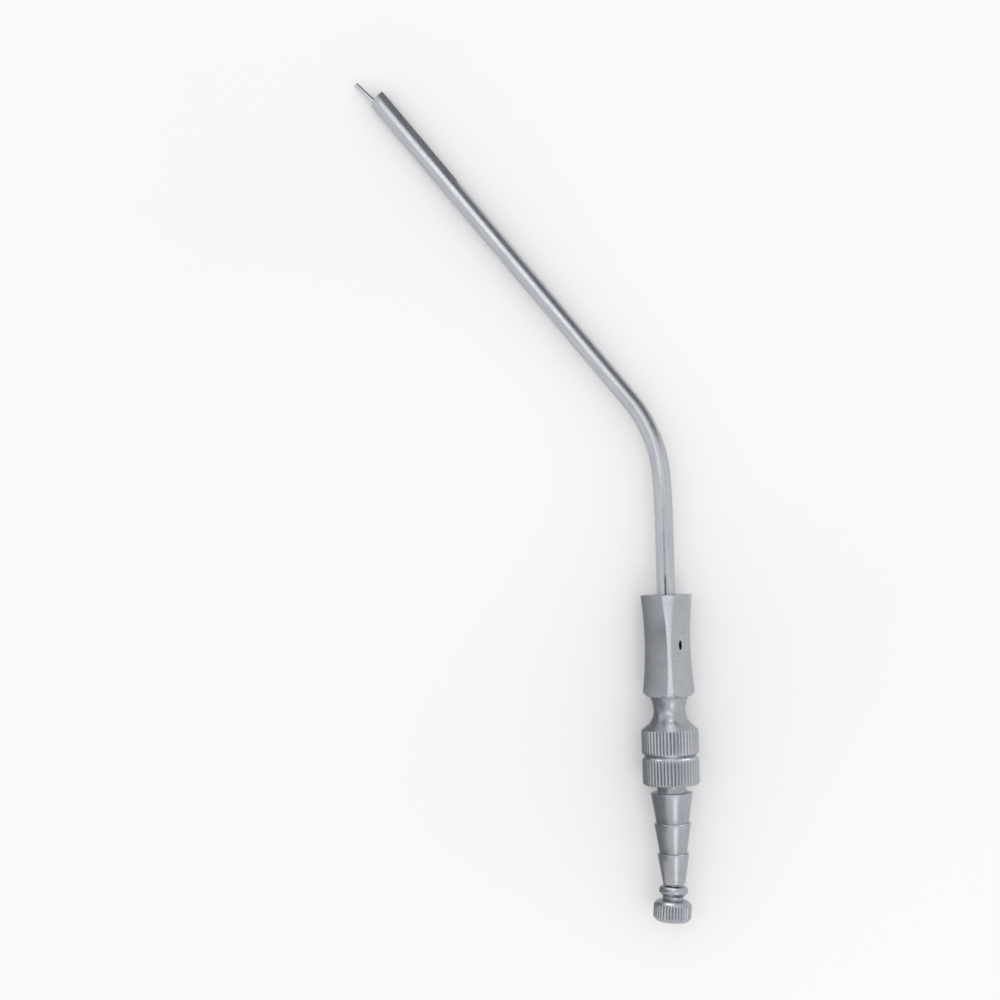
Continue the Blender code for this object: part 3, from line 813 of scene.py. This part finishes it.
turnedGripSteel = satinSteel("turned_satin_stainless_steel", finish["satin"],
                             instrumentPlace, False)
milledGripSteel = satinSteel("milled_satin_stainless_steel", finish["milled"],
                             instrumentPlace, True)
turnedConnectorSteel = satinSteel("turned_connector_stainless_steel", finish["satin"],
                                  connectorPlace, False)
turnedKnobSteel = satinSteel("turned_knob_stainless_steel", finish["satin"], knobPlace, False)
polishedTubeSteel = drawnSteel("polished_drawn_tube_steel", finish["polished"], True)
drawnWireSteel = drawnSteel("drawn_wire_steel", finish["drawn"], False)
print("materials:", len(bpy.data.materials))

makeCannula()
makeWire()
makeGrip()
makeConnector()
makeKnob()


# Floor, light and camera, in millimetres of the frame

studio = {
    "floorSize": 6000.0,
    "floorColour": "#FAFAFA",
    "matte": 0.9,
    "worldLevel": 0.885,      # what the white room gives as light
    "softboxes": [            # centre, tilt and turn in degrees, width, length, radiance, pieces lit
        ("tubeSoftbox", (-75.0, 113.0, 500.0), 0.0, 38.0, 400.0, 200.0, 0.9, []),
        ("barbSoftbox", (170.0, -335.0, 500.0), 0.0, 0.0, 190.0, 290.0, 1.6, []),
        ("ridgeSoftbox", (20.7, -31.2, 115.0), 0.0, 14.5, 82.0, 27.0, 1.6, ["thumbGrip"]),
        ("backSoftbox", (60.0, 280.0, 195.0), -90.0, 0.0, 100.0, 270.0, 2.9,
         ["thumbGrip", "hoseConnector", "styletKnob"]),
        ("coveSoftbox", (46.0, 280.0, 25.0), -90.0, 0.0, 60.0, 130.0, 7.0, ["thumbGrip"]),
        ("grooveSoftbox", (130.0, 95.0, 0.0), -90.0, 0.0, 500.0, 60.0, 6.5, ["hoseConnector"]),
        ("domeSoftbox", (-20.0, 280.0, 0.0), -90.0, 0.0, 120.0, 140.0, 10.5, ["styletKnob"]),
        ("footSoftbox", (42.0, -400.0, 0.0), 90.0, 0.0, 50.0, 160.0, 7.0, ["thumbGrip"]),
    ],
    "cards": [                # each card's tone and corners
        ("tubeCard", "#96979A", [(72.0, 30.0, 0.4), (-36.0, 167.0, 0.4),
                                 (-36.0, 167.0, 84.0), (72.0, 30.0, 72.0)]),
        ("tipCard", "#96979A", [(-14.0, 70.0, 0.4), (13.0, 94.0, 0.4),
                                (-8.0, 120.0, 0.4), (-36.0, 96.0, 0.4)]),
        ("gripCard", "#8C9093", [(6.0, -22.0, 0.4), (6.0, -47.0, 0.4),
                                 (6.0, -47.0, 9.0), (6.0, -22.0, 9.0)]),
        ("ringCard", "#C4C6C9", [(-12.0, -47.0, 0.4), (-12.0, -65.0, 0.4),
                                 (-12.0, -65.0, 60.0), (-12.0, -47.0, 60.0)]),
        ("barbCard", "#A4A6A9", [(-12.0, -65.0, 0.4), (-12.0, -96.0, 0.4),
                                 (-12.0, -96.0, 60.0), (-12.0, -65.0, 60.0)]),
        ("underCard", "#9C9EA1", [(22.0, -22.0, 0.4), (22.0, -94.0, 0.4),
                                  (-12.0, -94.0, 0.4), (-12.0, -22.0, 0.4)]),
        ("neckCard", "#A0A4A7", [(20.5, -28.0, 11.5), (12.6, -32.1, 9.5),
                                 (12.6, -32.1, 24.0), (20.5, -28.0, 24.0)]),
        ("shankCard", "#C4C5C8", [(-35.0, -27.0, 120.0), (40.0, -27.0, 120.0),
                                  (40.0, 3.0, 120.0), (-35.0, 3.0, 120.0)]),
    ],
    "shading": ["shankCard"],  # the cards that also shade the steel from the softboxes
}

shot = {
    "eye": (-8.0, 0.0, 412.05),
    "aim": (-6.06, 0.04, 4.0),
    "roll": 1.507,
    "focalPixels": 1873.2,
    "imageWidth": 1000.0,
    "sensor": 36.0,
    "clip": (0.01, 20.0),     # in metres
}


def plainMaterial(name, colour):
    material = bpy.data.materials.new(name)
    material.use_nodes = True
    shader = material.node_tree.nodes["Principled BSDF"]
    shader.inputs["Base Color"].default_value = linearColour(colour)
    shader.inputs["Roughness"].default_value = studio["matte"]
    shader.inputs["Specular IOR Level"].default_value = 0.0
    return material


def stagePiece(name, bm, material):
    mesh = bpy.data.meshes.new(name)
    bm.to_mesh(mesh)
    bm.free()
    mesh.materials.append(material)
    piece = bpy.data.objects.new(name, mesh)
    bpy.context.scene.collection.objects.link(piece)
    return piece


def makeFloor():
    bm = bmesh.new()
    bmesh.ops.create_grid(bm, x_segments=1, y_segments=1, size=studio["floorSize"] / 2.0 * mm)
    stagePiece("paleTable", bm, plainMaterial("pale_table", studio["floorColour"]))


def makeWorld():
    # A white room: its full white is what the camera and the steel see
    world = bpy.data.worlds.new("whiteRoom")
    world.use_nodes = True
    tree = world.node_tree
    back = tree.nodes["Background"]
    back.inputs["Color"].default_value = (1.0, 1.0, 1.0, 1.0)
    path = addNode(tree, "LightPath", {}, {})
    seen = addNode(tree, "Math", {"operation": "MAXIMUM"},
                   {0: path.outputs["Is Camera Ray"], 1: path.outputs["Is Glossy Ray"]})
    seen = addNode(tree, "Math", {"operation": "MAXIMUM"},
                   {0: seen.outputs["Value"], 1: path.outputs["Is Transmission Ray"]})
    level = addNode(tree, "MapRange", {"To Min": studio["worldLevel"], "To Max": 1.0},
                    {"Value": seen.outputs["Value"]})
    tree.links.new(level.outputs["Result"], back.inputs["Strength"])
    world.cycles.sampling_method = "NONE"  # so that the cards hide the room from the steel
    bpy.context.scene.world = world


def makeSoftbox(name, centre, tilt, turn, width, length, radiance, pieces):
    # Faces down when it isn't tilted, and along the floor when tilted by 90 degrees. It lights
    # everything, or only the pieces named, and then past all that stands before them.
    lamp = bpy.data.lights.new(name, "AREA")
    lamp.shape = "RECTANGLE"
    lamp.size = width * mm
    lamp.size_y = length * mm
    lamp.energy = radiance * math.pi * width * length * mm * mm
    box = bpy.data.objects.new(name, lamp)
    stand = Matrix.Rotation(math.radians(turn), 4, "Z") @ Matrix.Rotation(math.radians(tilt), 4, "X")
    box.matrix_world = Matrix.Translation(Vector(centre) * mm) @ stand
    box.visible_camera = False
    bpy.context.scene.collection.objects.link(box)
    if pieces:
        lit = bpy.data.collections.new(name + "Lit")
        for piece in pieces:
            lit.objects.link(bpy.data.objects[piece])
        box.light_linking.receiver_collection = lit
        # Only the wire may shade them, and it lies nowhere near
        shade = bpy.data.collections.new(name + "Shade")
        shade.objects.link(bpy.data.objects["styletWire"])
        box.light_linking.blocker_collection = shade


def makeCard(name, tone, corners):
    # A grey card near the instrument, which only the steel's reflections see
    bm = bmesh.new()
    bm.faces.new([bm.verts.new(corner) for corner in corners])
    bm.transform(Matrix.Scale(mm, 4))
    card = stagePiece(name, bm, plainMaterial(name, tone))
    card.visible_camera = False
    card.visible_diffuse = False
    card.visible_shadow = name in studio["shading"]


def makeCamera():
    camera = bpy.data.objects.new("camera", bpy.data.cameras.new("camera"))
    camera.data.sensor_width = shot["sensor"]
    camera.data.lens = shot["focalPixels"] * shot["sensor"] / shot["imageWidth"]
    camera.data.clip_start, camera.data.clip_end = shot["clip"]
    eye = Vector(shot["eye"]) * mm
    forward = (Vector(shot["aim"]) * mm - eye).normalized()
    roll = math.radians(shot["roll"])
    right = forward.cross(Vector((math.sin(roll), math.cos(roll), 0.0))).normalized()
    turn = Matrix((right, right.cross(forward), -forward)).transposed().to_4x4()
    camera.matrix_world = Matrix.Translation(eye) @ turn
    bpy.context.scene.collection.objects.link(camera)
    bpy.context.scene.camera = camera


makeFloor()
makeWorld()
for settings in studio["softboxes"]:
    makeSoftbox(*settings)
for settings in studio["cards"]:
    makeCard(*settings)
makeCamera()
bpy.context.scene.view_settings.view_transform = "Standard"
print("studio ready")
